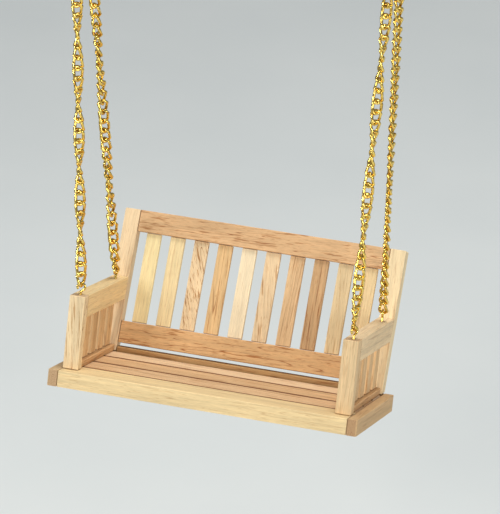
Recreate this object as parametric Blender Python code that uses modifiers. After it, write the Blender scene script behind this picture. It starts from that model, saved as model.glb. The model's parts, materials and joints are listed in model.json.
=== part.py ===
"""A miniature hanging porch bench: a slatted wooden seat on four chains and two ceiling hooks.

Metres, +Z up, -Y is the side the sitter faces. The X axis runs through the two hooks, with the origin
midway between them. The bench is laid out square in its own frame, whose origin is the middle of its
underside, and that frame is tilted back to the attitude in which the bench hangs: its weight straight
below the hooks.
"""

import math

import bmesh
import bpy
from mathutils import Vector

MM = 0.001

# Seat frame, in the bench's own frame
WIDTH = 140.0 * MM
DEPTH = 63.5 * MM
FRAME_HEIGHT = 7.3 * MM
END_BOARD_THICKNESS = 4.3 * MM
END_BOARD_ROUND = 0.9 * MM
SEAT_PLANK_WIDTH = 15.1 * MM
SEAT_BOARD_COUNT = 3
SEAT_BOARD_THICKNESS = 3.0 * MM
BEARER_WIDTH = 5.0 * MM
BEARER_COUNT = 3
REAR_RAIL_THICKNESS = 4.3 * MM
REAR_RAIL_LIP = 2.1 * MM

# Arms
ARM_HEIGHT = 40.1 * MM
ARM_WIDTH = 7.0 * MM
ARM_INSET = 4.7 * MM
ARM_RAIL_HEIGHT = 9.7 * MM
POST_DEPTH = 5.3 * MM
POST_SETBACK = 5.5 * MM
LOWER_RAIL_HEIGHT = 2.8 * MM
LOWER_RAIL_WIDTH = 5.6 * MM
SPINDLE_COUNT = 4
SPINDLE_WIDTH = 6.8 * MM
SPINDLE_THICKNESS = 2.0 * MM
SPINDLE_SPACE = 3.8 * MM
SPINDLE_START = 8.1 * MM

# Backrest, measured along its own slope from the seat
BACK_LEAN = math.radians(14.3)
BACK_LENGTH = 64.5 * MM
BACK_FOOT_INSET = 4.4 * MM
STILE_THICKNESS = 5.5 * MM
RAIL_THICKNESS = 4.6 * MM
TOP_RAIL_HEIGHT = 9.6 * MM
BOTTOM_RAIL_HEIGHT = 9.8 * MM
BOTTOM_RAIL_RAISE = 4.3 * MM
SLAT_COUNT = 10
SLAT_WIDTH = 6.6 * MM
SLAT_THICKNESS = 2.1 * MM

# Screw eyes in the arms
EYE_WIRE = 1.1 * MM
EYE_OUTSIDE = 4.4 * MM
EYE_STEM = 1.3 * MM
EYE_SHANK = 6.0 * MM
EYE_MARGIN = 1.2 * MM
EYE_REAR_MARGIN = 8.75 * MM
EYE_TURN = {"front_left": 12.0, "front_right": 58.0, "rear_left": 80.0, "rear_right": 102.0}

# Chains, rings and hooks
CHAIN_WIDTH = 5.4 * MM
LINK_WIRE = 1.5 * MM
LINK_PITCH = 4.75 * MM
RING_WIRE = 1.6 * MM
RING_RADIUS = 5.2 * MM
CHAIN_SPREAD = 5.4 * MM
HOOK_SPACING = 142.0 * MM
HOOK_WIRE = 1.8 * MM
HOOK_RADIUS = 2.8 * MM
HOOK_SHANK = 9.0 * MM
HOOK_STEP = 1.6 * MM

# How it hangs
RECLINE = math.radians(18.3)
DROP = 273.0 * MM

# Fits
GLUE_GAP = 0.2 * MM
RUNNING_GAP = 0.3 * MM
CHAIN_END_GAP = 1.7 * MM
EASED_EDGE = 0.35 * MM
WOOD_DENSITY = 600.0
BRASS_DENSITY = 8500.0

# Places that follow from the sizes
SIDES = {"left": -1.0, "right": 1.0}
INNER_WIDTH = WIDTH - 2 * END_BOARD_THICKNESS
ARM_X = WIDTH / 2 - ARM_INSET - ARM_WIDTH / 2
BACK_CLEAR_WIDTH = 2 * (ARM_X - ARM_WIDTH / 2)
FRONT = -DEPTH / 2
POST_BACK = FRONT + POST_SETBACK + POST_DEPTH
BACK_FOOT = DEPTH / 2 - BACK_FOOT_INSET
RAIL_TOP_Z = BACK_LENGTH
RAIL_BOTTOM_Z = BACK_LENGTH - TOP_RAIL_HEIGHT
EYE_RADIUS = (EYE_OUTSIDE - EYE_WIRE) / 2
RING_CENTRE_Z = HOOK_WIRE / 2 + RING_WIRE / 2 + RUNNING_GAP - RING_RADIUS


def back_face(height):
    """Y of the leaning back's front face at this height in the bench's frame."""
    return BACK_FOOT + (height - FRAME_HEIGHT) * math.tan(BACK_LEAN)


# ---------------------------------------------------------------- scene and materials


def clear_scene():
    for obj in list(bpy.data.objects):
        bpy.data.objects.remove(obj, do_unlink=True)


def new_collection(name):
    collection = bpy.data.collections.new(name)
    bpy.context.scene.collection.children.link(collection)
    return collection


def new_material(name, colour, roughness, metallic=0.0):
    material = bpy.data.materials.new(name)
    material.use_nodes = True
    material.diffuse_color = (*colour, 1.0)
    shader = material.node_tree.nodes["Principled BSDF"]
    shader.inputs["Base Color"].default_value = (*colour, 1.0)
    shader.inputs["Roughness"].default_value = roughness
    shader.inputs["Metallic"].default_value = metallic
    return material


clear_scene()
PARTS = new_collection("porch_swing")
CUTTERS = new_collection("cutters")
PALE_WOOD = new_material("pale_wood", (0.78, 0.60, 0.38), 0.6)
TAN_WOOD = new_material("tan_wood", (0.66, 0.44, 0.24), 0.6)
YELLOW_WOOD = new_material("yellow_wood", (0.80, 0.62, 0.34), 0.6)
GILT = new_material("gilt_brass", (0.90, 0.62, 0.16), 0.18, 1.0)


# ---------------------------------------------------------------- building helpers


def frame_at(name, location, tilt, parent=None):
    """An empty that pieces are laid out in, tilted backwards about X."""
    empty = bpy.data.objects.new(name, None)
    empty.location = location
    empty.rotation_euler = (-tilt, 0.0, 0.0)
    empty.parent = parent
    PARTS.objects.link(empty)
    return empty


def add_object(name, data, material, parent, collection=PARTS):
    data.materials.append(material)
    obj = bpy.data.objects.new(name, data)
    obj.parent = parent
    collection.objects.link(obj)
    return obj


def ease_edges(obj):
    bevel = obj.modifiers.new("eased_edges", "BEVEL")
    bevel.width = EASED_EDGE
    bevel.segments = 1
    bevel.limit_method = "ANGLE"
    bevel.angle_limit = math.radians(40.0)


def board(name, low, high, material, parent, reshape=None):
    """A squared piece of wood between two corners; reshape may move or round parts of its mesh."""
    centre = [(a + b) / 2 for a, b in zip(low, high)]
    mesh = bpy.data.meshes.new(name)
    shape = bmesh.new()
    bmesh.ops.create_cube(shape, size=1.0)
    bmesh.ops.scale(shape, vec=[b - a for a, b in zip(low, high)], verts=shape.verts)
    if reshape:
        reshape(shape)
    shape.to_mesh(mesh)
    shape.free()
    obj = add_object(name, mesh, material, parent)
    obj.location = centre
    ease_edges(obj)
    return obj


def wire(name, points, thickness, material, parent):
    """A bent round wire along these points, with flat ends."""
    curve = bpy.data.curves.new(name, "CURVE")
    curve.dimensions = "3D"
    curve.bevel_depth = thickness / 2
    curve.bevel_resolution = 2
    curve.use_fill_caps = True
    spline = curve.splines.new("POLY")
    spline.points.add(len(points) - 1)
    for place, point in zip(spline.points, points):
        place.co = (*point, 1.0)
    return add_object(name, curve, material, parent)


def arc(centre, radius, start, end, steps):
    """Points on an arc in the XZ plane, angles in degrees from +X."""
    points = []
    for step in range(steps + 1):
        angle = math.radians(start + (end - start) * step / steps)
        x = centre[0] + radius * math.cos(angle)
        points.append((x, centre[1], centre[2] + radius * math.sin(angle)))
    return points


# ---------------------------------------------------------------- seat frame


def build_seat(bench):
    def round_outer_corners(side):
        def reshape(shape):
            outer = [e for e in shape.edges if all(v.co.x * side > 0 for v in e.verts)]
            upright = [e for e in outer if abs(e.verts[0].co.z - e.verts[1].co.z) > FRAME_HEIGHT / 2]
            bmesh.ops.bevel(
                shape, geom=upright, offset=END_BOARD_ROUND, segments=3, profile=0.5, affect="EDGES"
            )

        return reshape

    half = INNER_WIDTH / 2 - GLUE_GAP
    board(
        "front_rail",
        (-half, FRONT, 0.0),
        (half, FRONT + SEAT_PLANK_WIDTH, FRAME_HEIGHT),
        PALE_WOOD,
        bench,
    )
    for side_name, side in SIDES.items():
        inner, outer = side * INNER_WIDTH / 2, side * WIDTH / 2
        board(
            f"end_board_{side_name}",
            (min(inner, outer), FRONT, 0.0),
            (max(inner, outer), DEPTH / 2, FRAME_HEIGHT),
            TAN_WOOD,
            bench,
            round_outer_corners(side),
        )

    rear_rail_front = DEPTH / 2 - REAR_RAIL_THICKNESS
    first = FRONT + SEAT_PLANK_WIDTH + GLUE_GAP
    last = rear_rail_front - GLUE_GAP
    boards_start = first
    for number in range(1, SEAT_BOARD_COUNT + 1):
        end = last if number == SEAT_BOARD_COUNT else boards_start + SEAT_PLANK_WIDTH
        board(
            f"seat_board_{number}",
            (-half, boards_start, FRAME_HEIGHT - SEAT_BOARD_THICKNESS),
            (half, end, FRAME_HEIGHT),
            TAN_WOOD,
            bench,
        )
        boards_start = end + GLUE_GAP

    bearer_span = INNER_WIDTH / 2 - BEARER_WIDTH
    for number in range(BEARER_COUNT):
        x = bearer_span * (2 * number / (BEARER_COUNT - 1) - 1)
        board(
            f"seat_bearer_{number + 1}",
            (x - BEARER_WIDTH / 2, first, 0.0),
            (x + BEARER_WIDTH / 2, last, FRAME_HEIGHT - SEAT_BOARD_THICKNESS - GLUE_GAP),
            TAN_WOOD,
            bench,
        )
    build_rear_rail(bench, half, rear_rail_front)


def build_rear_rail(bench, half, front):
    """The rear rail stands a little above the seat, and is notched at its ends for the stiles' feet."""
    shoulder = BACK_CLEAR_WIDTH / 2 - GLUE_GAP
    top = FRAME_HEIGHT + REAR_RAIL_LIP
    outline = [
        (-half, 0.0),
        (half, 0.0),
        (half, FRAME_HEIGHT),
        (shoulder, FRAME_HEIGHT),
        (shoulder, top),
        (-shoulder, top),
        (-shoulder, FRAME_HEIGHT),
        (-half, FRAME_HEIGHT),
    ]
    curve = bpy.data.curves.new("rear_rail", "CURVE")
    curve.dimensions = "2D"
    curve.fill_mode = "BOTH"
    curve.extrude = REAR_RAIL_THICKNESS / 2
    spline = curve.splines.new("POLY")
    spline.points.add(len(outline) - 1)
    spline.use_cyclic_u = True
    for place, (x, z) in zip(spline.points, outline):
        place.co = (x, z, 0.0, 1.0)
    rail = add_object("rear_rail", curve, TAN_WOOD, bench)
    rail.location = (0.0, front + REAR_RAIL_THICKNESS / 2, 0.0)
    rail.rotation_euler = (math.pi / 2, 0.0, 0.0)


# ---------------------------------------------------------------- arms


def lean_rear_end(shape):
    """Slants the rear end of a level rail so that it meets the leaning stile."""
    for vert in shape.verts:
        if vert.co.y > 0:
            vert.co.y += vert.co.z * math.tan(BACK_LEAN)


def eye_places():
    """Where each screw eye stands on the arms, in the bench's frame."""
    places = {}
    for side_name, side in SIDES.items():
        front_y = POST_BACK - EYE_MARGIN
        rear_y = back_face(ARM_HEIGHT) - EYE_REAR_MARGIN
        places[f"front_{side_name}"] = (side * ARM_X, front_y)
        places[f"rear_{side_name}"] = (side * ARM_X, rear_y)
    return places


def build_arms(bench):
    on_seat = FRAME_HEIGHT + GLUE_GAP
    rail_bottom = ARM_HEIGHT - ARM_RAIL_HEIGHT
    lower_top = on_seat + LOWER_RAIL_HEIGHT
    for side_name, side in SIDES.items():
        x = side * ARM_X
        post = board(
            f"front_post_{side_name}",
            (x - ARM_WIDTH / 2, FRONT + POST_SETBACK, on_seat),
            (x + ARM_WIDTH / 2, POST_BACK, ARM_HEIGHT),
            PALE_WOOD,
            bench,
        )
        drill_for_eye(post, f"front_{side_name}", bench)
        arm_end = back_face((rail_bottom + ARM_HEIGHT) / 2) - GLUE_GAP / math.cos(BACK_LEAN)
        arm = board(
            f"arm_rail_{side_name}",
            (x - ARM_WIDTH / 2, POST_BACK + GLUE_GAP, rail_bottom),
            (x + ARM_WIDTH / 2, arm_end, ARM_HEIGHT),
            TAN_WOOD,
            bench,
            lean_rear_end,
        )
        drill_for_eye(arm, f"rear_{side_name}", bench)
        lower_end = back_face((on_seat + lower_top) / 2) - GLUE_GAP / math.cos(BACK_LEAN)
        board(
            f"arm_lower_rail_{side_name}",
            (x - LOWER_RAIL_WIDTH / 2, POST_BACK + GLUE_GAP, on_seat),
            (x + LOWER_RAIL_WIDTH / 2, lower_end, lower_top),
            TAN_WOOD,
            bench,
            lean_rear_end,
        )
        for number in range(SPINDLE_COUNT):
            y = POST_BACK + SPINDLE_START + number * (SPINDLE_WIDTH + SPINDLE_SPACE)
            board(
                f"arm_spindle_{side_name}_{number + 1}",
                (x - SPINDLE_THICKNESS / 2, y, lower_top + GLUE_GAP),
                (x + SPINDLE_THICKNESS / 2, y + SPINDLE_WIDTH, rail_bottom - GLUE_GAP),
                YELLOW_WOOD,
                bench,
            )


def drill_for_eye(piece, place, bench):
    """A blind hole in the top of this piece for the shank of the screw eye at this place."""
    name = f"eye_hole_{place}"
    radius = EYE_WIRE / 2 + GLUE_GAP
    depth = EYE_SHANK + RUNNING_GAP
    mesh = bpy.data.meshes.new(name)
    shape = bmesh.new()
    bmesh.ops.create_cone(
        shape, cap_ends=True, segments=16, radius1=radius, radius2=radius, depth=2 * depth
    )
    shape.to_mesh(mesh)
    shape.free()
    cutter = add_object(name, mesh, TAN_WOOD, bench, CUTTERS)
    cutter.location = (*eye_places()[place], ARM_HEIGHT)
    cutter.hide_render = True
    cutter.display_type = "WIRE"
    cut = piece.modifiers.new(name, "BOOLEAN")
    cut.operation = "DIFFERENCE"
    cut.object = cutter


# ---------------------------------------------------------------- backrest


def build_back(bench):
    back = frame_at("back_frame", (0.0, BACK_FOOT, FRAME_HEIGHT), BACK_LEAN, bench)

    def level_foot(shape):
        for vert in shape.verts:
            if vert.co.z < 0:
                vert.co.z += (vert.co.y + STILE_THICKNESS / 2) * math.tan(BACK_LEAN)

    for side_name, side in SIDES.items():
        x = side * ARM_X
        board(
            f"back_stile_{side_name}",
            (x - ARM_WIDTH / 2, 0.0, GLUE_GAP / math.cos(BACK_LEAN)),
            (x + ARM_WIDTH / 2, STILE_THICKNESS, BACK_LENGTH),
            PALE_WOOD,
            back,
            level_foot,
        )
    half = BACK_CLEAR_WIDTH / 2 - GLUE_GAP
    board(
        "back_top_rail",
        (-half, 0.0, RAIL_BOTTOM_Z),
        (half, RAIL_THICKNESS, RAIL_TOP_Z),
        TAN_WOOD,
        back,
    )
    bottom_rail_top = BOTTOM_RAIL_RAISE + BOTTOM_RAIL_HEIGHT
    board(
        "back_bottom_rail",
        (-half, 0.0, BOTTOM_RAIL_RAISE),
        (half, RAIL_THICKNESS, bottom_rail_top),
        TAN_WOOD,
        back,
    )
    space = (BACK_CLEAR_WIDTH - SLAT_COUNT * SLAT_WIDTH) / (SLAT_COUNT + 1)
    slat_front = (RAIL_THICKNESS - SLAT_THICKNESS) / 2
    for number in range(SLAT_COUNT):
        x = -BACK_CLEAR_WIDTH / 2 + space + number * (SLAT_WIDTH + space)
        board(
            f"back_slat_{number + 1:02d}",
            (x, slat_front, bottom_rail_top + GLUE_GAP),
            (x + SLAT_WIDTH, slat_front + SLAT_THICKNESS, RAIL_BOTTOM_Z - GLUE_GAP),
            YELLOW_WOOD,
            back,
        )


# ---------------------------------------------------------------- screw eyes


def build_eyes(bench):
    """Each eye is one wire: a straight shank, then an open ring that starts beside the shank."""
    centre_z = EYE_STEM + EYE_OUTSIDE / 2
    neck_z = centre_z - EYE_RADIUS - EYE_WIRE / 2
    points = [(0.0, 0.0, -EYE_SHANK), (0.0, 0.0, neck_z)]
    points += arc((0.0, 0.0, centre_z), EYE_RADIUS, -62.0, 222.0, 20)
    for place, (x, y) in eye_places().items():
        eye = wire(f"screw_eye_{place}", points, EYE_WIRE, GILT, bench)
        eye.location = (x, y, ARM_HEIGHT)
        eye.rotation_euler = (0.0, 0.0, math.radians(EYE_TURN[place]))


# ---------------------------------------------------------------- balance, chains, rings and hooks


def mass_and_moment(obj, density):
    """Mass of a closed solid and its moment about the origin, summed over its triangles."""
    evaluated = obj.evaluated_get(bpy.context.evaluated_depsgraph_get())
    mesh = evaluated.to_mesh()
    mesh.calc_loop_triangles()
    mass, moment = 0.0, Vector((0.0, 0.0, 0.0))
    for triangle in mesh.loop_triangles:
        a, b, c = (evaluated.matrix_world @ mesh.vertices[i].co for i in triangle.vertices)
        piece = density * a.dot(b.cross(c)) / 6
        mass += piece
        moment += piece * (a + b + c) / 4
    evaluated.to_mesh_clear()
    return mass, moment


def chain_wall():
    """Wall of an open sleeve, as wide as a link, that weighs what the links weigh over its length."""
    side = LINK_PITCH + LINK_WIRE - CHAIN_WIDTH + LINK_WIRE
    wire_length = math.pi * (CHAIN_WIDTH - LINK_WIRE) + 2 * side
    metal = math.pi * LINK_WIRE**2 / 4 * wire_length / LINK_PITCH
    return (CHAIN_WIDTH - math.sqrt(CHAIN_WIDTH**2 - 4 * metal / math.pi)) / 2


def chain_ends(bench):
    """For each chain, the top of its eye and the place on the ring where it hangs."""
    drop_in_ring = math.sqrt(RING_RADIUS**2 - (CHAIN_SPREAD / 2) ** 2)
    ends = {}
    for place, (x, y) in eye_places().items():
        top_of_eye = Vector((x, y, ARM_HEIGHT + EYE_STEM + EYE_OUTSIDE - EYE_WIRE / 2))
        row, side_name = place.split("_")
        forward = -1.0 if row == "front" else 1.0
        ring_x = SIDES[side_name] * HOOK_SPACING / 2
        on_ring = Vector((ring_x, forward * CHAIN_SPREAD / 2, RING_CENTRE_Z - drop_in_ring))
        ends[place] = (bench.matrix_world @ top_of_eye, on_ring)
    return ends


def balance(bench):
    """Slides the bench until the weight of everything that swings is straight below the hooks."""
    metal = math.pi * chain_wall() * (CHAIN_WIDTH - chain_wall()) * BRASS_DENSITY
    bpy.context.view_layer.update()
    mass, moment = 0.0, 0.0
    for obj in bench.children_recursive:
        if obj.type != "EMPTY" and not obj.hide_render:
            density = BRASS_DENSITY if obj.active_material == GILT else WOOD_DENSITY
            weight, first_moment = mass_and_moment(obj, density)
            mass += weight
            moment += first_moment.y
    for low, high in chain_ends(bench).values():
        weight = metal * (high - low).length
        mass += weight / 2
        moment += weight * (low.y + high.y) / 2
    bench.location.y -= moment / mass
    bpy.context.view_layer.update()


def build_chains(bench):
    """Each chain stands in CAD as an open sleeve along its taut line."""
    for place, (low, high) in chain_ends(bench).items():
        line = high - low
        length = line.length - 2 * (CHAIN_END_GAP + EYE_WIRE / 2)
        name = f"chain_{place}"
        mesh = bpy.data.meshes.new(name)
        shape = bmesh.new()
        radius = CHAIN_WIDTH / 2
        bmesh.ops.create_cone(
            shape, cap_ends=False, segments=16, radius1=radius, radius2=radius, depth=length
        )
        shape.to_mesh(mesh)
        shape.free()
        mesh.shade_smooth()
        chain = add_object(name, mesh, GILT, None)
        chain.location = (low + high) / 2
        chain.rotation_euler = line.to_track_quat("Z", "Y").to_euler()
        shell = chain.modifiers.new("wall", "SOLIDIFY")
        shell.thickness = chain_wall()
        shell.offset = -1.0


def build_rings_and_hooks():
    top = 2 * HOOK_RADIUS + HOOK_STEP
    points = [(0.0, 0.0, top + HOOK_SHANK), (0.0, 0.0, top)]
    points += arc((0.0, 0.0, HOOK_RADIUS), HOOK_RADIUS, 62.0, -200.0, 20)
    for side_name, side in SIDES.items():
        x = side * HOOK_SPACING / 2
        bpy.ops.mesh.primitive_torus_add(
            major_segments=28,
            minor_segments=8,
            major_radius=RING_RADIUS,
            minor_radius=RING_WIRE / 2,
            location=(x, 0.0, RING_CENTRE_Z),
            rotation=(0.0, math.pi / 2, 0.0),
        )
        ring = bpy.context.object
        ring.name = f"hanging_ring_{side_name}"
        ring.data.materials.append(GILT)
        ring.data.shade_smooth()
        for collection in list(ring.users_collection):
            collection.objects.unlink(ring)
        PARTS.objects.link(ring)
        hook = wire(f"ceiling_hook_{side_name}", points, HOOK_WIRE, GILT, None)
        hook.location = (x, 0.0, 0.0)
        hook.rotation_euler = (0.0, 0.0, 0.0 if side > 0 else math.pi)


bench_frame = frame_at("bench_frame", (0.0, 0.0, -DROP), RECLINE)
build_seat(bench_frame)
build_arms(bench_frame)
build_back(bench_frame)
build_eyes(bench_frame)
balance(bench_frame)
build_chains(bench_frame)
build_rings_and_hooks()
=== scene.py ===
import json
import math
import random

import bmesh
import bpy
from mathutils import Matrix, Vector


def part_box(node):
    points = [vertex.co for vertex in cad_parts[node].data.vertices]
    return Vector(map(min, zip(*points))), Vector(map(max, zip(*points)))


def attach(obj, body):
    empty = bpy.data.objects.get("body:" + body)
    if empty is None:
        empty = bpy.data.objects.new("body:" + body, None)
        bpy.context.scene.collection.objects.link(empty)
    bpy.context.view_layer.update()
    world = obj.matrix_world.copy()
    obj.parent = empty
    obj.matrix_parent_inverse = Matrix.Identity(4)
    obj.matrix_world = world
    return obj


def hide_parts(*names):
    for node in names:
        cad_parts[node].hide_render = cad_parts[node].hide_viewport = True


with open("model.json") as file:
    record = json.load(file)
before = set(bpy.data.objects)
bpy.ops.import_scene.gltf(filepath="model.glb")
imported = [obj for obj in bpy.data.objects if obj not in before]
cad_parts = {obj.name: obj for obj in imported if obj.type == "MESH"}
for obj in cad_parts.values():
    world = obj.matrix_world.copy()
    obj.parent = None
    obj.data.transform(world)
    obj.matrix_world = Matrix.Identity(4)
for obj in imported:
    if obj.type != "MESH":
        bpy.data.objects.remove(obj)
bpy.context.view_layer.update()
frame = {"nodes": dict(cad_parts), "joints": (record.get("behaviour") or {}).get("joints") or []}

bpy.ops.object.select_all(action="DESELECT")

# ---- How it hangs, and the camera
# The bench tips back on its chains until its weight is straight below the hooks. Its wood is laid
# out square in the bench's own frame, tilted by that much, and the camera stands in it as well.

MM = 0.001
SEAT_DEPTH = 63.5 * MM
joints = {joint["name"]: joint for joint in frame["joints"]}
along_arm = Vector(joints["bench_level"]["axis"])
RECLINE = math.atan2(-along_arm.z, along_arm.y)
BENCH = Matrix.Rotation(-RECLINE, 4, "X")


def block(node, tilt):
    """Lowest and highest corner of this CAD piece, measured square to the bench or to its back."""
    corners = [tilt.inverted() @ point.co for point in frame["nodes"][node].data.vertices]
    low = Vector([min(corner[axis] for corner in corners) for axis in range(3)])
    high = Vector([max(corner[axis] for corner in corners) for axis in range(3)])
    return low, high


CAMERA_TURN = math.radians(15.13)
CAMERA_RISE = math.radians(10.06)
CAMERA_ROLL = math.radians(6.26)
CAMERA_PLACE = (12.91 * MM, 61.83 * MM, 1797.48 * MM)
CAMERA_LENS = 287.4
CAMERA_REACH = 50.0

backwards = Vector((math.sin(CAMERA_TURN), -math.cos(CAMERA_TURN), math.tan(CAMERA_RISE))).normalized()
level = Vector((0.0, 0.0, 1.0)).cross(backwards).normalized()
upright = backwards.cross(level)
rightwards = level * math.cos(CAMERA_ROLL) + upright * math.sin(CAMERA_ROLL)
upwards = upright * math.cos(CAMERA_ROLL) - level * math.sin(CAMERA_ROLL)
rail_low, rail_high = block("front_rail", BENCH)
under_seat = Vector((0.0, rail_low.y + SEAT_DEPTH / 2, rail_low.z))
sideways, above, away = CAMERA_PLACE
stand = under_seat + rightwards * sideways + upwards * above + backwards * away
facing = Matrix((rightwards, upwards, backwards)).transposed().to_4x4()

lens = bpy.data.cameras.new("camera")
lens.lens = CAMERA_LENS
lens.clip_end = CAMERA_REACH
camera = bpy.data.objects.new("camera", lens)
camera.matrix_world = BENCH @ Matrix.Translation(stand) @ facing
bpy.context.scene.collection.objects.link(camera)
bpy.context.scene.camera = camera

# ---- Front rail
# The seat's front rail is a square strip of pale basswood, left raw. It is planed by hand, its
# edges are eased with a stroke of fine paper, and it is glued between the two end boards.

EASED_EDGE = 0.32 * MM
CUT_EVERY = 7.0 * MM
SANDING_SIZE = 9.0 * MM
SANDING_DEPTH = 0.09 * MM
PLANK_LENGTH = 900.0
RUN_OUT = 0.045
NEAR = 0.1 * MM
# Marks for the faces of eased edges: dark old glue with painted joint shade (full on long edges, fainter at
# the ends), none, and wear with a painted highlight.
DARK_GLUE_AND_SHADE, FAINT_GLUE_AND_SHADE, NO_EDGE, WORN_AND_HIGHLIT_EDGE = -1.0, -0.4, 0.0, 1.0


class Shade:
    """A value inside a material. Arithmetic on it adds the nodes that work it out."""

    def __init__(self, tree, socket=None):
        self.tree = tree
        self.socket = socket

    def node(self, kind, settings, values, output=0):
        made = self.tree.nodes.new(kind)
        for setting, value in settings.items():
            setattr(made, setting, value)
        for key, value in values.items():
            if isinstance(value, Shade):
                self.tree.links.new(value.socket, made.inputs[key])
            else:
                made.inputs[key].default_value = value
        return Shade(self.tree, made.outputs[output])

    def maths(self, operation, first, second):
        return self.node("ShaderNodeMath", {"operation": operation}, {0: first, 1: second})

    def __add__(self, other):
        return self.maths("ADD", self, other)

    def __radd__(self, other):
        return self.maths("ADD", other, self)

    def __sub__(self, other):
        return self.maths("SUBTRACT", self, other)

    def __rsub__(self, other):
        return self.maths("SUBTRACT", other, self)

    def __mul__(self, other):
        return self.maths("MULTIPLY", self, other)

    def __rmul__(self, other):
        return self.maths("MULTIPLY", other, self)

    def stretched(self, along, across, through):
        """This place, with its scale changed along each direction."""
        scale = (along, across, through)
        return self.node("ShaderNodeVectorMath", {"operation": "MULTIPLY"}, {0: self, 1: scale})

    def cloud(self, detail, roughness=0.5):
        """Soft noise from 0 to 1 at this place."""
        values = {"Vector": self, "Scale": 1.0, "Detail": detail, "Roughness": roughness}
        return self.node("ShaderNodeTexNoise", {}, values)

    def rise(self, low, high):
        """0 below the low value and 1 above the high one, with a soft step between."""
        values = {"Value": self, "From Min": low, "From Max": high}
        return self.node("ShaderNodeMapRange", {"interpolation_type": "SMOOTHSTEP"}, values)

    def blend(self, first, second):
        """The first colour where this is 0, the second where it is 1."""
        return self.node("ShaderNodeMix", {"data_type": "RGBA"}, {0: self, 6: first, 7: second}, 2)

    def tinted(self, other):
        """This colour times another one."""
        return self.node("ShaderNodeVectorMath", {"operation": "MULTIPLY"}, {0: self, 1: other})

    def dimmed(self, amount):
        """This colour times a number."""
        return self.node("ShaderNodeVectorMath", {"operation": "SCALE"}, {0: self, "Scale": amount})


def feed(material, values):
    """Joins values to the sockets of the material's surface shader, or sets them there."""
    surface = material.node_tree.nodes["Principled BSDF"]
    for name, value in values.items():
        if isinstance(value, Shade):
            material.node_tree.links.new(value.socket, surface.inputs[name])
        else:
            surface.inputs[name].default_value = value


def make_raw_wood():
    """Unfinished basswood: fine fibres, broad bands, red-brown flecks, dashes and lines.

    Ends show stippled pores. Worn edges are a little paler, partly a painted highlight, and those at
    joints hold a dark line of old adhesive with painted joint shade.
    """
    material = bpy.data.materials.new("raw_wood")
    material.use_nodes = True
    start = Shade(material.node_tree)
    grain = start.node("ShaderNodeAttribute", {"attribute_name": "grain"}, {}, "Vector")
    tint = start.node("ShaderNodeAttribute", {"attribute_name": "tint"}, {}, "Color")
    figure = start.node("ShaderNodeAttribute", {"attribute_name": "figure"}, {}, "Fac")
    end_grain = start.node("ShaderNodeAttribute", {"attribute_name": "end_grain"}, {}, "Fac")
    eased = start.node("ShaderNodeAttribute", {"attribute_name": "eased"}, {}, "Fac")

    fibres = grain.stretched(0.16, 3.4, 3.4).cloud(4.0, 0.6)
    bands = grain.stretched(0.012, 0.42, 0.42).cloud(2.0)
    fleck_field = grain.stretched(0.045, 1.1, 1.1).cloud(2.0, 0.6)
    flecks = fleck_field.rise(0.58, 0.68) * figure
    dashes = grain.stretched(0.22, 2.6, 2.6).cloud(1.0).rise(0.63, 0.70) * (0.35 + figure * 0.5)
    line_field = grain.stretched(0.007, 0.27, 0.27).cloud(1.0) * 8.0
    away_from_line = start.maths("PINGPONG", line_field, 0.5)
    broken = grain.stretched(0.03, 0.3, 0.3).cloud(1.0).rise(0.42, 0.58)
    lines = (1.0 - away_from_line.rise(0.0, 0.09)) * figure * broken

    shade = 1.02 + (fibres - 0.5) * 0.60 + (bands - 0.5) * 0.60
    face = tint.dimmed(shade)
    face = (flecks * 0.9).blend(face, face.tinted((0.56, 0.36, 0.20)))
    face = (dashes * 0.6).blend(face, face.tinted((0.58, 0.38, 0.23)))
    face = (lines * 0.9).blend(face, face.tinted((0.46, 0.25, 0.13)))

    pores = grain.stretched(2.3, 2.3, 2.3).cloud(2.0, 0.7).rise(0.53, 0.66)
    end = pores.blend(tint.tinted((0.84, 0.78, 0.78)), tint.tinted((0.50, 0.33, 0.27)))
    colour = end_grain.blend(face, end)
    # Eased edges are paler: wear from the sanding, and a painted highlight along the edge.
    colour = (eased.rise(0.0, 1.0) * 0.5).blend(colour, colour.dimmed(1.18))
    # Edges at joints darken: old glue, and painted shade in the joints between the boards.
    glue_and_joint_shade = (0.0 - eased).rise(0.0, 1.0) * 0.95
    colour = glue_and_joint_shade.blend(colour, tint.tinted((0.24, 0.12, 0.06)))

    relief = fibres * 0.5 - flecks * 0.4 - lines * 0.8 - pores * end_grain
    values = {"Height": relief, "Strength": 0.35, "Distance": 0.08 * MM}
    feed(
        material,
        {
            "Base Color": colour,
            "Roughness": 0.55 + fibres * 0.22 - flecks * 0.08,
            "Specular IOR Level": 0.3,
            "Normal": start.node("ShaderNodeBump", {}, values),
        },
    )
    return material


RAW_WOOD = make_raw_wood()
SANDING = bpy.data.textures.new("sanding", "CLOUDS")
SANDING.noise_scale = SANDING_SIZE
ALONG_X = (0, 1, 2)
ALONG_Y = (1, 0, 2)
UPRIGHT = (2, 0, 1)
cutting_list = random.Random(12)


def tone(red, green, blue):
    """A colour given as it looks, from 0 to 255, as the amounts of light that a material takes."""
    return [((part / 255 + 0.055) / 1.055) ** 2.4 for part in (red, green, blue)]


def saw(name, low, high):
    """A square stick of wood between two corners."""
    bpy.ops.object.select_all(action="DESELECT")
    bpy.ops.mesh.primitive_cube_add(size=1.0, location=(low + high) / 2, scale=high - low)
    bpy.ops.object.transform_apply(location=True, rotation=True, scale=True)
    stick = bpy.context.object
    stick.name = f"{name}_wood"
    stick.data.name = stick.name
    return stick


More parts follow.
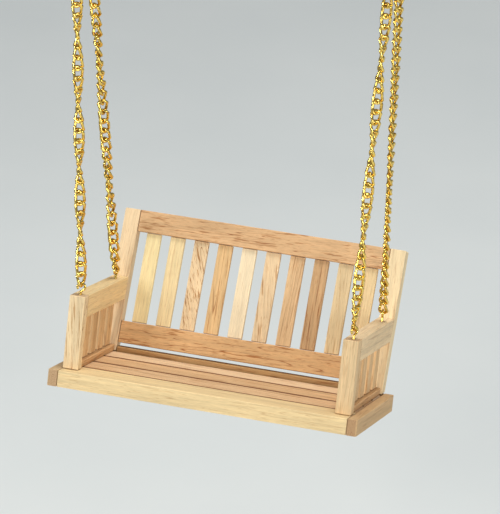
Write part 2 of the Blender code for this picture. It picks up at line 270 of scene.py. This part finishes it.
def select_parts(stick, kind, test):
    """Opens the stick in edit mode and selects the faces, edges or points whose corners pass the test."""
    bpy.ops.object.mode_set(mode="EDIT")
    bpy.ops.mesh.select_mode(type=kind)
    bpy.ops.mesh.select_all(action="DESELECT")
    cage = bmesh.from_edit_mesh(stick.data)
    parts = {"FACE": cage.faces, "EDGE": cage.edges, "VERT": cage.verts}[kind]
    for part in parts:
        places = [part.co] if kind == "VERT" else [corner.co for corner in part.verts]
        if test(places):
            part.select_set(True)
    bmesh.update_edit_mesh(stick.data)


def use_modifier(stick, kind, **settings):
    """Adds a modifier with these settings and applies it."""
    modifier = stick.modifiers.new(kind.lower(), kind)
    for setting, value in settings.items():
        setattr(modifier, setting, value)
    bpy.context.view_layer.objects.active = stick
    bpy.ops.object.modifier_apply(modifier=modifier.name)


def note(stick, name, kind, domain, field, values):
    """Writes values on the stick's points or faces for its material to read."""
    attribute = stick.data.attributes.new(name, kind, domain)
    attribute.data.foreach_set(field, values)


def work_wood(stick, node, tilt, grain, colour, figure, edge=EASED_EDGE, slope=None, glue_and_shade_edges=(-1, 1)):
    """Sands the stick, notes how its grain runs, tilts it into place and lets it stand for the CAD piece.

    grain gives the axes along, across and through the stick. slope is how far the grain runs off the
    stick's length. The last argument lists the edges that hold a dark line of old adhesive with
    painted joint shade: -1 for those of the low end, 1 for those of the high end and 0 for the long
    ones. The other eased edges are paler, partly from wear and partly a painted highlight.
    """
    lengthwise = grain[0]
    length = max(point.co[lengthwise] for point in stick.data.vertices)
    length -= min(point.co[lengthwise] for point in stick.data.vertices)

    def runs_along(places):
        step = places[1] - places[0]
        return abs(step[lengthwise]) > 0.9 * step.length

    select_parts(stick, "EDGE", runs_along)
    bpy.ops.mesh.subdivide(number_cuts=max(2, round(length / CUT_EVERY)))
    bpy.ops.object.mode_set(mode="OBJECT")
    use_modifier(
        stick, "BEVEL", width=edge, segments=2, limit_method="ANGLE", angle_limit=math.radians(50.0)
    )

    is_end = [float(abs(face.normal[lengthwise]) > 0.85) for face in stick.data.polygons]
    is_eased = []
    for face in stick.data.polygons:
        towards_end = face.normal[lengthwise]
        edge_of = 0 if abs(towards_end) < 0.2 else round(math.copysign(1, towards_end))
        # Bevel faces at joints get old glue with painted joint shade; the others get wear with a painted
        # highlight.
        if max(abs(part) for part in face.normal) > 0.94:
            is_eased.append(NO_EDGE)
        elif edge_of in glue_and_shade_edges:
            is_eased.append(DARK_GLUE_AND_SHADE if edge_of == 0 else FAINT_GLUE_AND_SHADE)
        else:
            is_eased.append(WORN_AND_HIGHLIT_EDGE)

    use_modifier(stick, "DISPLACE", texture=SANDING, strength=SANDING_DEPTH, mid_level=0.5)
    use_modifier(stick, "WEIGHTED_NORMAL", mode="FACE_AREA", weight=50)

    cut_from = [cutting_list.uniform(0.0, PLANK_LENGTH) for axis in range(3)]
    slope = cutting_list.uniform(-RUN_OUT, RUN_OUT) if slope is None else slope
    places = []
    for point in stick.data.vertices:
        along, across, through = (point.co[axis] / MM for axis in grain)
        run_out = slope * along
        places += [along + cut_from[0], across + run_out + cut_from[1], through + run_out / 3 + cut_from[2]]
    count = len(stick.data.vertices)
    note(stick, "grain", "FLOAT_VECTOR", "POINT", "vector", places)
    note(stick, "tint", "FLOAT_COLOR", "POINT", "color", [*colour, 1.0] * count)
    note(stick, "figure", "FLOAT", "POINT", "value", [figure] * count)
    note(stick, "end_grain", "FLOAT", "FACE", "value", is_end)
    note(stick, "eased", "FLOAT", "FACE", "value", is_eased)

    stick.data.materials.clear()
    stick.data.materials.append(RAW_WOOD)
    stick.matrix_world = tilt
    bpy.ops.object.transform_apply(location=True, rotation=True, scale=True)
    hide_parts(node)
    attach(stick, "bench")


rail = saw("front_rail", rail_low, rail_high)
work_wood(rail, "front_rail", BENCH, ALONG_X, tone(232, 205, 154), 0.35)

# ---- End boards
# Two short boards run from front to back and close the ends of the seat. Their outer corners are
# rounded over, and the ends of the grain show at the front.

END_BOARD_TONES = {"left": tone(212, 182, 138), "right": tone(205, 170, 124)}
END_BOARD_ROUND = 0.9 * MM

for side, colour in END_BOARD_TONES.items():
    node = f"end_board_{side}"
    low, high = block(node, BENCH)
    stick = saw(node, low, high)
    outer = low.x if side == "left" else high.x
    select_parts(
        stick,
        "EDGE",
        lambda places: all(abs(place.x - outer) < NEAR for place in places)
        and abs(places[0].z - places[1].z) > 1.0 * MM,
    )
    bpy.ops.mesh.bevel(offset=END_BOARD_ROUND, segments=4)
    bpy.ops.object.mode_set(mode="OBJECT")
    work_wood(stick, node, BENCH, ALONG_Y, colour, 0.3, glue_and_shade_edges=())

# ---- Seat boards
# Three thinner boards fill the seat behind the front rail, level with its top. They are browner
# strips with a strong figure, laid on the bearers and glued edge to edge. Old glue and painted shade
# darken the grooves between their chamfers.

SEAT_BOARD_TONES = (tone(224, 187, 143), tone(218, 180, 135), tone(230, 199, 160))
SEAT_BOARD_FIGURES = (1.0, 0.75, 0.6)
SEAT_BOARD_CHAMFER = 1.0 * MM

for number, (colour, figure) in enumerate(zip(SEAT_BOARD_TONES, SEAT_BOARD_FIGURES), 1):
    node = f"seat_board_{number}"
    stick = saw(node, *block(node, BENCH))
    work_wood(
        stick, node, BENCH, ALONG_X, colour, figure, SEAT_BOARD_CHAMFER, glue_and_shade_edges=(-1, 0, 1)
    )

# ---- Bearers
# Three square bearers run from front to back under the seat boards and hold them together. They
# only show from below.

for number in range(1, 4):
    node = f"seat_bearer_{number}"
    stick = saw(node, *block(node, BENCH))
    work_wood(stick, node, BENCH, ALONG_Y, tone(206, 172, 128), 0.4)

# ---- Rear rail
# The strip behind the seat boards stands a little above them. It is cut down at both ends, where
# the feet of the back's stiles stand on it.

GLUE_GAP = 0.2 * MM
low, high = block("rear_rail", BENCH)
seat_top = block("seat_board_3", BENCH)[1].z
stile_inner = block("back_stile_right", BENCH)[0].x
shoulder = stile_inner - GLUE_GAP
stick = saw("rear_rail", low, Vector((high.x, high.y, seat_top)))
for place in (-shoulder, shoulder):
    select_parts(stick, "FACE", lambda places: True)
    bpy.ops.mesh.bisect(plane_co=(place, 0.0, 0.0), plane_no=(1.0, 0.0, 0.0))
    bpy.ops.object.mode_set(mode="OBJECT")
select_parts(
    stick,
    "FACE",
    lambda places: all(abs(place.z - seat_top) < NEAR for place in places)
    and all(abs(place.x) < shoulder + NEAR for place in places),
)
bpy.ops.mesh.extrude_region_move(TRANSFORM_OT_translate={"value": (0.0, 0.0, high.z - seat_top)})
bpy.ops.object.mode_set(mode="OBJECT")
# The rail's tone is darker than its wood would be: painted shade, as the rail sits low behind the seat
# boards.
work_wood(stick, "rear_rail", BENCH, ALONG_X, tone(176, 138, 90), 0.7)

# ---- Front posts
# Each arm stands on a square post set back from the front edge of the seat. A pilot hole for the
# screw eye goes down into the top, which shows end grain.

POST_LOOKS = {"left": (tone(236, 210, 166), 0.9, 0.10), "right": (tone(231, 200, 153), 0.4, 0.0)}
EYE_WIRE = 1.1 * MM
EYE_SHANK = 6.0 * MM
PILOT_RADIUS = EYE_WIRE / 2 + 0.1 * MM
PILOT_SPARE = 0.4 * MM


def shank_foot(eye):
    """The middle of the lower end of this screw eye's shank, in the bench's frame."""
    corners = [BENCH.inverted() @ point.co for point in frame["nodes"][eye].data.vertices]
    lowest = min(corner.z for corner in corners)
    foot = [corner for corner in corners if corner.z < lowest + NEAR]
    middle_x = (min(corner.x for corner in foot) + max(corner.x for corner in foot)) / 2
    middle_y = (min(corner.y for corner in foot) + max(corner.y for corner in foot)) / 2
    return Vector((middle_x, middle_y, lowest))


def drill(stick, eye):
    """Bores the pilot hole for this screw eye down through the top of the stick."""
    foot = shank_foot(eye)
    bpy.ops.object.select_all(action="DESELECT")
    bpy.ops.mesh.primitive_cylinder_add(
        vertices=20,
        radius=PILOT_RADIUS,
        depth=2 * EYE_SHANK + 2 * PILOT_SPARE,
        location=foot + Vector((0.0, 0.0, EYE_SHANK)),
    )
    bit = bpy.context.object
    use_modifier(stick, "BOOLEAN", operation="DIFFERENCE", object=bit, solver="EXACT")
    bpy.data.objects.remove(bit, do_unlink=True)
    stick.select_set(True)


for side in ("left", "right"):
    node = f"front_post_{side}"
    stick = saw(node, *block(node, BENCH))
    drill(stick, f"screw_eye_front_{side}")
    colour, figure, slope = POST_LOOKS[side]
    work_wood(stick, node, BENCH, UPRIGHT, colour, figure, slope=slope, glue_and_shade_edges=(-1,))

# ---- Arm rails
# A level arm runs from each post to the stile behind it, flush with the top of the post. Its rear
# end is cut to the slope of the back.

ARM_TONES = {"left": tone(232, 203, 150), "right": tone(233, 205, 162)}
BACK_LEAN = math.radians(14.3)


def slope_rear_end(stick):
    """Cuts the rear end of a level rail to the slope of the back, within the CAD piece's length."""
    rear = max(point.co.y for point in stick.data.vertices)
    top = max(point.co.z for point in stick.data.vertices)
    bottom = min(point.co.z for point in stick.data.vertices)
    select_parts(
        stick,
        "VERT",
        lambda places: places[0].y > rear - NEAR and places[0].z < bottom + NEAR,
    )
    bpy.ops.transform.translate(value=(0.0, -(top - bottom) * math.tan(BACK_LEAN), 0.0))
    bpy.ops.object.mode_set(mode="OBJECT")


for side in ("left", "right"):
    node = f"arm_rail_{side}"
    stick = saw(node, *block(node, BENCH))
    slope_rear_end(stick)
    drill(stick, f"screw_eye_rear_{side}")
    work_wood(stick, node, BENCH, ALONG_Y, ARM_TONES[side], 0.3)

# ---- Lower arm rails
# A thin strip lies on the seat under each arm, between the post and the stile. The spindles are
# glued to its top.

for side in ("left", "right"):
    node = f"arm_lower_rail_{side}"
    stick = saw(node, *block(node, BENCH))
    slope_rear_end(stick)
    work_wood(stick, node, BENCH, ALONG_Y, tone(206, 166, 118), 0.6)

# ---- Arm spindles
# Four flat spindles fill each arm, edge on to the front. They are thin strips cut square and
# glued between the arm and the strip below.

SPINDLE_EDGE = 0.2 * MM
SPINDLE_COUNT = 4

for side in ("left", "right"):
    for number in range(1, SPINDLE_COUNT + 1):
        node = f"arm_spindle_{side}_{number}"
        stick = saw(node, *block(node, BENCH))
        colour = Vector(tone(226, 190, 140)) * cutting_list.uniform(0.9, 1.08)
        figure = cutting_list.uniform(0.35, 0.8)
        work_wood(stick, node, BENCH, UPRIGHT, colour, figure, SPINDLE_EDGE)

# ---- Back stiles
# The two uprights of the back lean backwards from the rear rail. Their feet are cut level, and
# their top corners are rubbed a little rounder than the other edges.

STILE_TONES = {"left": tone(236, 208, 166), "right": tone(240, 216, 172)}
STILE_TOP_ROUND = 0.6 * MM
BACK = Matrix.Rotation(-(RECLINE + BACK_LEAN), 4, "X")

for side in ("left", "right"):
    node = f"back_stile_{side}"
    low, high = block(node, BACK)
    stick = saw(node, low, high)
    rear_lift = (high.y - low.y) * math.tan(BACK_LEAN)
    select_parts(
        stick,
        "VERT",
        lambda places: places[0].y > high.y - NEAR and places[0].z < low.z + NEAR,
    )
    bpy.ops.transform.translate(value=(0.0, 0.0, rear_lift))
    bpy.ops.object.mode_set(mode="OBJECT")
    outer = low.x if side == "left" else high.x
    select_parts(
        stick,
        "EDGE",
        lambda places: all(abs(place.x - outer) < NEAR for place in places)
        and all(place.z > high.z - NEAR for place in places),
    )
    bpy.ops.mesh.bevel(offset=STILE_TOP_ROUND, segments=3)
    bpy.ops.object.mode_set(mode="OBJECT")
    work_wood(stick, node, BACK, UPRIGHT, STILE_TONES[side], 0.35, glue_and_shade_edges=(-1,))

# ---- Back rails
# Two rails join the stiles, one at the top and one just above the seat. They are the brownest
# strips of the back, with long dark lines in them.

BACK_RAILS = {"back_top_rail": (tone(216, 176, 130), 0.9), "back_bottom_rail": (tone(212, 170, 120), 1.0)}
BACK_RAIL_SLOPE = -0.07

for node, (colour, figure) in BACK_RAILS.items():
    stick = saw(node, *block(node, BACK))
    work_wood(stick, node, BACK, ALONG_X, colour, figure, slope=BACK_RAIL_SLOPE)

# ---- Back slats
# Ten thin slats stand between the two back rails. They were cut from different strips, so each
# has its own tone, from straw yellow to brown, and some are heavily flecked.

SLAT_TONES = (
    tone(240, 220, 166),
    tone(238, 216, 166),
    tone(236, 208, 165),
    tone(228, 190, 136),
    tone(240, 222, 186),
    tone(232, 204, 162),
    tone(220, 184, 138),
    tone(200, 162, 117),
    tone(228, 202, 156),
    tone(224, 198, 150),
)
SLAT_FIGURES = (0.15, 0.3, 1.7, 0.9, 0.15, 0.8, 0.8, 1.0, 0.6, 0.4)
SLAT_EDGE = 0.25 * MM
SLAT_SLOPES = (0.0, 0.02, 0.36, 0.03, 0.0, 0.12, -0.03, 0.02, 0.05, 0.0)

for number, (colour, figure, slope) in enumerate(zip(SLAT_TONES, SLAT_FIGURES, SLAT_SLOPES), 1):
    node = f"back_slat_{number:02d}"
    stick = saw(node, *block(node, BACK))
    work_wood(stick, node, BACK, UPRIGHT, colour, figure, SLAT_EDGE, slope)

# ---- Screw eyes
# Four small gilt screw eyes hold the chains, two in the tops of the posts and two in the arms.
# Each is one wire bent into an open ring over a straight shank, and each stands turned its own way.

EYE_OUTSIDE = 4.4 * MM
EYE_STEM = 1.3 * MM
EYE_RADIUS = (EYE_OUTSIDE - EYE_WIRE) / 2
EYE_OPENING = (-62.0, 222.0)
EYE_TURNS = {"front_left": 12.0, "front_right": 58.0, "rear_left": 80.0, "rear_right": 102.0}


def make_gilt():
    """Bright gilt plating, browner in rough patches: handling wear and painted dark reflections."""
    material = bpy.data.materials.new("gilt_plating")
    material.use_nodes = True
    start = Shade(material.node_tree)
    place = start.node("ShaderNodeTexCoord", {}, {}, "Object")
    patches = place.stretched(420.0, 420.0, 420.0).cloud(3.0, 0.6)
    scratches = place.stretched(2600.0, 2600.0, 900.0).cloud(2.0, 0.6)
    # Browner, rougher patches: wear from handling, and painted dark reflections that deepen the gilt's
    # darks.
    handled_and_dark_reflection_mask = patches.rise(0.48, 0.72)
    bright, handled_and_dark_reflection = (0.95, 0.68, 0.17, 1.0), (0.52, 0.28, 0.04, 1.0)
    values = {"Height": scratches + patches, "Strength": 0.12, "Distance": 0.03 * MM}
    feed(
        material,
        {
            "Base Color": handled_and_dark_reflection_mask.blend(bright, handled_and_dark_reflection),
            "Metallic": 1.0,
            "Roughness": 0.07 + handled_and_dark_reflection_mask * 0.12 + scratches * 0.06,
            "Normal": start.node("ShaderNodeBump", {}, values),
        },
    )
    return material


GILT = make_gilt()


def arc(centre, radius, start, end, steps):
    """Points on an arc that stands in the XZ plane, with its angles in degrees from +X."""
    turns = [math.radians(start + (end - start) * step / steps) for step in range(steps + 1)]
    return [centre + Vector((math.cos(turn), 0.0, math.sin(turn))) * radius for turn in turns]


def bend_wire(name, points, thickness, place):
    """A round wire bent along these points, closed at its ends and set at its place."""
    route = bpy.data.curves.new(name, "CURVE")
    route.dimensions = "3D"
    route.bevel_depth = thickness / 2
    route.bevel_resolution = 3
    route.use_fill_caps = True
    line = route.splines.new("POLY")
    line.points.add(len(points) - 1)
    for spot, point in zip(line.points, points):
        spot.co = (*point, 1.0)
    bpy.ops.object.select_all(action="DESELECT")
    piece = bpy.data.objects.new(name, route)
    bpy.context.scene.collection.objects.link(piece)
    piece.select_set(True)
    bpy.context.view_layer.objects.active = piece
    bpy.ops.object.convert(target="MESH")
    piece = bpy.context.object
    bpy.ops.object.mode_set(mode="EDIT")
    bpy.ops.mesh.select_all(action="SELECT")
    bpy.ops.mesh.remove_doubles(threshold=0.001 * MM)
    bpy.ops.mesh.normals_make_consistent(inside=False)
    bpy.ops.object.mode_set(mode="OBJECT")
    bpy.ops.object.shade_smooth_by_angle(angle=math.radians(40.0))
    piece.matrix_world = place
    bpy.ops.object.transform_apply(location=True, rotation=True, scale=True)
    piece.data.materials.clear()
    piece.data.materials.append(GILT)
    return piece


ring_middle = EYE_SHANK + EYE_STEM + EYE_OUTSIDE / 2
neck = ring_middle - EYE_RADIUS - EYE_WIRE / 2
eye_wire = [Vector((0.0, 0.0, 0.0)), Vector((0.0, 0.0, neck))]
eye_wire += arc(Vector((0.0, 0.0, ring_middle)), EYE_RADIUS, *EYE_OPENING, 26)
for place, turn in EYE_TURNS.items():
    node = f"screw_eye_{place}"
    stand = BENCH @ Matrix.Translation(shank_foot(node)) @ Matrix.Rotation(math.radians(turn), 4, "Z")
    eye = bend_wire(f"{node}_wire", eye_wire, EYE_WIRE, stand)
    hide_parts(node)
    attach(eye, "bench")

# ---- Hanging rings
# The front and the rear chain of each side end in one gilt ring. It is a length of wire bent
# round until its ends nearly meet, and it hangs in the ceiling hook.

RING_WIRE = 1.6 * MM
RING_RADIUS = 5.2 * MM
RING_JOINT = 208.0
RING_SWEEP = 358.0

ring_centres = {}
for side in ("left", "right"):
    node = f"hanging_ring_{side}"
    low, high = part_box(node)
    ring_centres[side] = (low + high) / 2
    ring_wire = arc(Vector((0.0, 0.0, 0.0)), RING_RADIUS, RING_JOINT, RING_JOINT + RING_SWEEP, 60)
    crosswise = Matrix.Translation(ring_centres[side]) @ Matrix.Rotation(math.radians(90.0), 4, "Z")
    ring = bend_wire(f"{node}_wire", ring_wire, RING_WIRE, crosswise)
    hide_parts(node)
    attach(ring, "hanging_rings")

# ---- Chains
# Four lengths of gilt curb chain. Each link is an oval of wire given a quarter twist, so that the
# links lie flat in one another, and each length winds round itself between its eye and its ring.

LINK_WIRE = 1.5 * MM
LINK_WIDTH = 5.4 * MM
LINK_PITCH = 4.75 * MM
LINK_TWIST = math.radians(-90.0)
LINK_STEPS = 14
LINK_SLACK = 5.0
CHAIN_SPREAD = 5.4 * MM
# How far each chain winds from its eye to its ring, in degrees, and how evenly. 1 is even, and a
# smaller number winds it more near the eye.
CHAIN_WINDINGS = {
    "front_left": (-1270.0, 1.0),
    "front_right": (-960.0, 1.0),
    "rear_left": (640.0, 0.78),
    "rear_right": (-100.0, 0.6),
}
link_radius = (LINK_WIDTH - LINK_WIRE) / 2
link_stretch = LINK_PITCH + LINK_WIRE - 2 * link_radius

bpy.ops.object.select_all(action="DESELECT")
bpy.ops.mesh.primitive_torus_add(
    major_segments=LINK_STEPS,
    minor_segments=6,
    major_radius=link_radius,
    minor_radius=LINK_WIRE / 2,
    rotation=(math.radians(90.0), 0.0, 0.0),
)
bpy.ops.object.transform_apply(location=True, rotation=True, scale=True)
link = bpy.context.object
bpy.ops.object.mode_set(mode="EDIT")
bpy.ops.transform.rotate(value=math.pi / LINK_STEPS, orient_axis="Y", center_override=(0.0, 0.0, 0.0))
bpy.ops.object.mode_set(mode="OBJECT")
select_parts(link, "VERT", lambda places: places[0].z > 0)
bpy.ops.transform.translate(value=(0.0, 0.0, link_stretch / 2))
bpy.ops.object.mode_set(mode="OBJECT")
select_parts(link, "VERT", lambda places: places[0].z < 0)
bpy.ops.transform.translate(value=(0.0, 0.0, -link_stretch / 2))
bpy.ops.object.mode_set(mode="OBJECT")
use_modifier(link, "SIMPLE_DEFORM", deform_method="TWIST", deform_axis="Z", angle=LINK_TWIST)
bpy.ops.object.shade_smooth()
link.data.materials.clear()
link.data.materials.append(GILT)

hand = random.Random(5)
drop_in_ring = math.sqrt(RING_RADIUS**2 - (CHAIN_SPREAD / 2) ** 2)
eye_middle = Vector((0.0, 0.0, ring_middle))
for place, turn in EYE_TURNS.items():
    row, side = place.split("_")
    forward = -1.0 if row == "front" else 1.0
    eye_normal = BENCH @ Vector((-math.sin(math.radians(turn)), math.cos(math.radians(turn)), 0.0))
    low = BENCH @ (shank_foot(f"screw_eye_{place}") + eye_middle)
    high = ring_centres[side] + Vector((0.0, forward * CHAIN_SPREAD / 2, -drop_in_ring))
    pull = high - low
    low += (pull - eye_normal * pull.dot(eye_normal)).normalized() * EYE_RADIUS
    line = (high - low).normalized()
    low -= line * (EYE_WIRE + LINK_WIRE) / 2
    high += line * (RING_WIRE + LINK_WIRE) / 2
    run = (high - low).length - LINK_WIRE
    count = round(run / LINK_PITCH)
    pitch = run / count

    first_x = (eye_normal - line * eye_normal.dot(line)).normalized()
    first_y = line.cross(first_x)
    ring_x = Vector((1.0, 0.0, 0.0))
    at_ring = math.degrees(math.atan2(ring_x.dot(first_y), ring_x.dot(first_x))) + 90.0
    wanted, evenness = CHAIN_WINDINGS[place]
    winding = at_ring + 180.0 * round((wanted - at_ring) / 180.0)
    lay = Matrix((first_x, first_y, line)).transposed().to_4x4()

    links = []
    for number in range(count):
        middle = low + line * (number * pitch + (pitch + LINK_WIRE) / 2)
        slack = 0.0 if number in (0, count - 1) else hand.uniform(-LINK_SLACK, LINK_SLACK)
        spin = math.radians(winding * (number / (count - 1)) ** evenness - 45.0 + slack)
        copy = link.copy()
        copy.data = link.data.copy()
        bpy.context.scene.collection.objects.link(copy)
        copy.matrix_world = Matrix.Translation(middle) @ lay @ Matrix.Rotation(spin, 4, "Z")
        links.append(copy)
    bpy.ops.object.select_all(action="DESELECT")
    for copy in links:
        copy.select_set(True)
    bpy.context.view_layer.objects.active = links[0]
    bpy.ops.object.join()
    chain = bpy.context.object
    chain.name = f"chain_{place}_links"
    bpy.ops.object.transform_apply(location=True, rotation=True, scale=True)
    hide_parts(f"chain_{place}")
    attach(chain, f"{side}_chains")
bpy.data.objects.remove(link, do_unlink=True)

# ---- Ceiling hooks
# Two gilt screw hooks go up into the beam. Each is one wire, open at the side of its bow, with a
# thread rolled on the shank.

HOOK_WIRE = 1.8 * MM
HOOK_RADIUS = 2.8 * MM
HOOK_SHANK = 9.0 * MM
HOOK_STEP = 1.6 * MM
THREAD_PITCH = 0.9 * MM
THREAD_LENGTH = 7.4 * MM
THREAD_WIRE = 0.34 * MM
THREAD_BELOW_TOP = 0.3 * MM
THREAD_SUNK = 0.10 * MM
THREAD_STEPS = 14
HOOK_BOW = (-200.0, 62.0)

hook_top = 2 * HOOK_RADIUS + HOOK_STEP
shank_top = hook_top + HOOK_SHANK
hook_wire = arc(Vector((0.0, 0.0, HOOK_RADIUS)), HOOK_RADIUS, *HOOK_BOW, 30)
hook_wire += [Vector((0.0, 0.0, hook_top)), Vector((0.0, 0.0, shank_top))]
thread_turns = THREAD_LENGTH / THREAD_PITCH
thread_wire = []
for step in range(round(thread_turns * THREAD_STEPS) + 1):
    turn = 2 * math.pi * step / THREAD_STEPS
    height = shank_top - THREAD_BELOW_TOP - THREAD_LENGTH + step * THREAD_PITCH / THREAD_STEPS
    reach = HOOK_WIRE / 2 - THREAD_SUNK
    thread_wire.append(Vector((math.cos(turn) * reach, math.sin(turn) * reach, height)))
for side in ("left", "right"):
    node = f"ceiling_hook_{side}"
    x = ring_centres[side].x
    place = Matrix.Translation((x, 0.0, 0.0)) @ Matrix.Rotation(0.0 if x > 0 else math.pi, 4, "Z")
    hook = bend_wire(f"{node}_wire", hook_wire, HOOK_WIRE, place)
    thread = bend_wire(f"{node}_thread", thread_wire, THREAD_WIRE, place)
    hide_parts(node)
    for piece in (hook, thread):
        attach(piece, "ceiling_hooks")

# ---- Floor and light
# A plain pale floor lies well below the bench. Soft lights stand at the front left, at the right and
# overhead, two small ones at the sides make the gilt glint, and the sky is even.

FLOOR_SIZE = 8.0
FLOOR_HEIGHT = -0.42
LIT_SPOT = Vector((0.0, 0.0, -0.2))
SKY_STRENGTH = 0.30
SKY_COLOUR = (0.86, 0.9, 0.95, 1.0)

bpy.ops.object.select_all(action="DESELECT")
bpy.ops.mesh.primitive_plane_add(size=FLOOR_SIZE, location=(0.0, 0.0, FLOOR_HEIGHT))
floor = bpy.context.object
floor.name = "floor"
floor_paint = bpy.data.materials.new("floor_paint")
floor_paint.use_nodes = True
start = Shade(floor_paint.node_tree)
mottle = start.node("ShaderNodeTexCoord", {}, {}, "Object").stretched(9.0, 9.0, 9.0).cloud(3.0)
feed(
    floor_paint,
    {
        "Base Color": mottle.blend((0.70, 0.74, 0.73, 1.0), (0.78, 0.81, 0.79, 1.0)),
        "Roughness": 0.8 + mottle * 0.1,
    },
)
floor.data.materials.append(floor_paint)


def hang_light(name, place, size, power, colour):
    """A square soft light at this place, turned towards the bench."""
    data = bpy.data.lights.new(name, "AREA")
    data.size = size
    data.energy = power
    data.color = colour
    light = bpy.data.objects.new(name, data)
    light.location = place
    towards = LIT_SPOT - Vector(place)
    light.rotation_euler = towards.to_track_quat("-Z", "Y").to_euler()
    bpy.context.scene.collection.objects.link(light)


hang_light("key_light", (-0.50, -1.05, 0.35), 0.35, 5.2, (1.0, 0.98, 0.95))
hang_light("fill_light", (1.1, -0.7, 0.1), 0.5, 4.2, (1.0, 0.98, 0.95))
hang_light("top_light", (0.1, 0.2, 0.9), 0.45, 9.0, (1.0, 0.99, 0.98))
hang_light("left_glint", (-1.0, -0.5, 0.0), 0.10, 1.3, (1.0, 1.0, 1.0))
hang_light("right_glint", (0.55, -1.1, 0.1), 0.10, 1.3, (1.0, 1.0, 1.0))
sky = bpy.data.worlds.new("sky")
sky.use_nodes = True
sky.node_tree.nodes["Background"].inputs["Color"].default_value = SKY_COLOUR
sky.node_tree.nodes["Background"].inputs["Strength"].default_value = SKY_STRENGTH
bpy.context.scene.world = sky
bpy.context.scene.view_settings.view_transform = "Standard"
